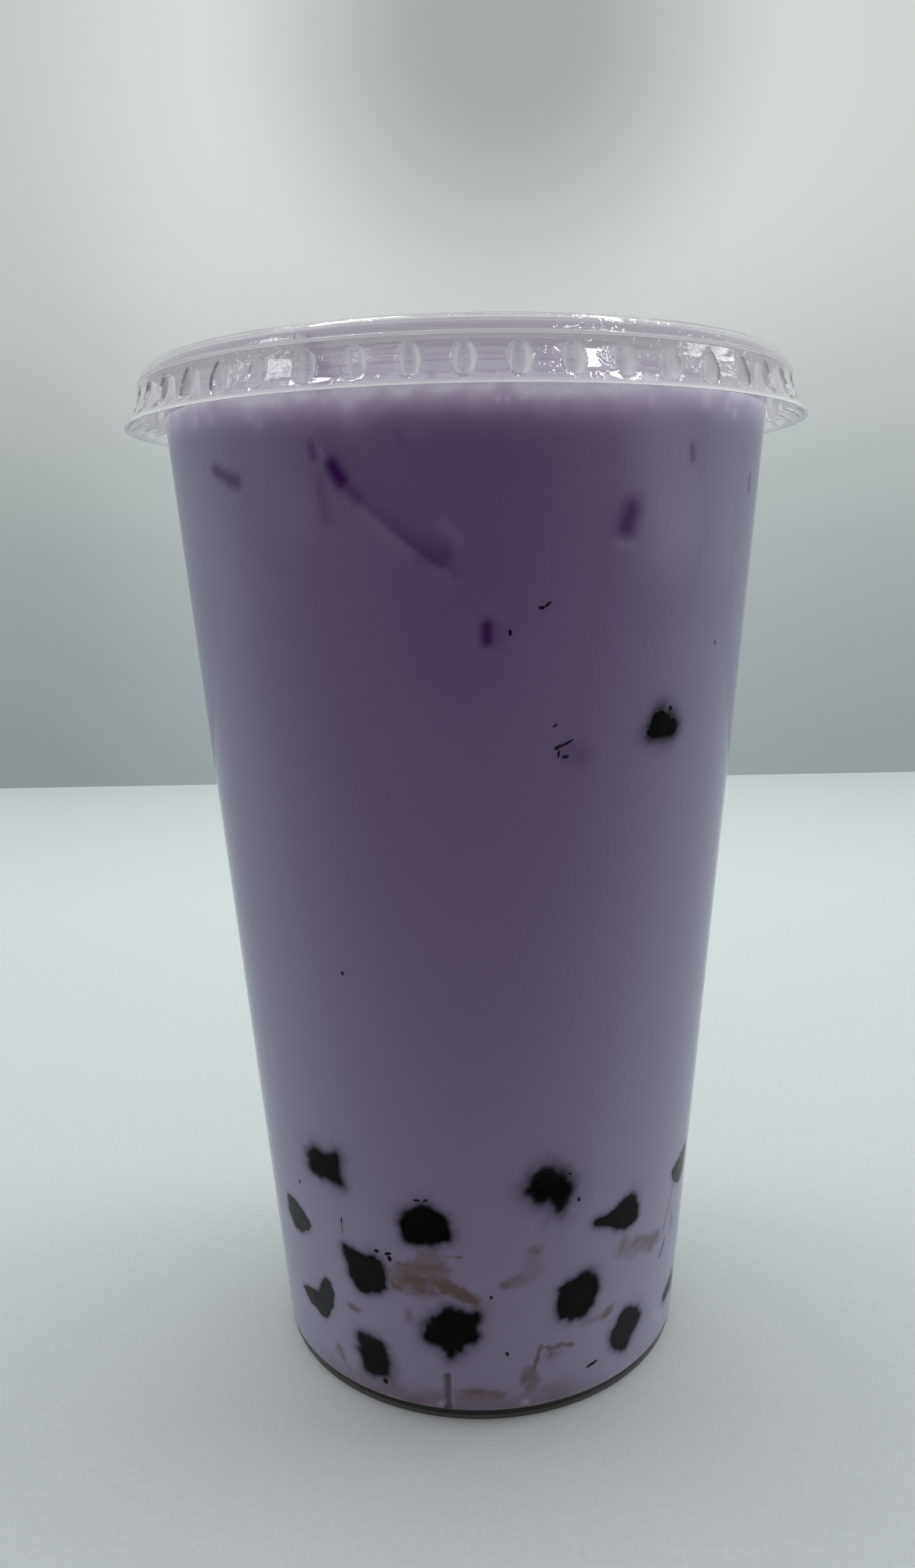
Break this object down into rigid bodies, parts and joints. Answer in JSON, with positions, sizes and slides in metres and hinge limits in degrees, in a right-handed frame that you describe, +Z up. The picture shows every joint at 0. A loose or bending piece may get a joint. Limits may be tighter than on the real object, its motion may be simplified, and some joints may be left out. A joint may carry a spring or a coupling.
{
  "type": "taro bubble tea",
  "caption": "Taro milk tea with black tapioca pearls in a tapered clear plastic cup, closed by a clear press-on lid with a lugged, flared skirt.",
  "frame": {"origin": "on the surface the cup stands on, on the cup's axis", "axes": "+Z up along the cup's axis; the side seen in front looks along -Y; +X to the right of that view"},
  "size_m": [0.1024, 0.1024, 0.1563],
  "materials": {
    "clear_plastic": "clear, glossy thermoformed plastic",
    "lid_plastic": "thin clear, glossy plastic",
    "taro_tea": "opaque milky lilac liquid",
    "tapioca": "dark, moist and slightly translucent"
  },
  "bodies": {
    "root": {"cup": "clear_plastic", "lid": "lid_plastic", "drink": "taro_tea", "pearl_01": "tapioca", "pearl_02": "tapioca", "pearl_03": "tapioca", "pearl_04": "tapioca", "pearl_05": "tapioca", "pearl_06": "tapioca", "pearl_07": "tapioca", "pearl_08": "tapioca", "pearl_09": "tapioca", "pearl_10": "tapioca", "pearl_11": "tapioca", "pearl_12": "tapioca", "pearl_13": "tapioca", "pearl_14": "tapioca", "pearl_15": "tapioca", "pearl_16": "tapioca", "pearl_17": "tapioca", "pearl_18": "tapioca", "pearl_19": "tapioca", "pearl_20": "tapioca", "pearl_21": "tapioca", "pearl_22": "tapioca", "pearl_23": "tapioca", "pearl_24": "tapioca", "pearl_25": "tapioca", "pearl_26": "tapioca"}
  },
  "joints": []
}
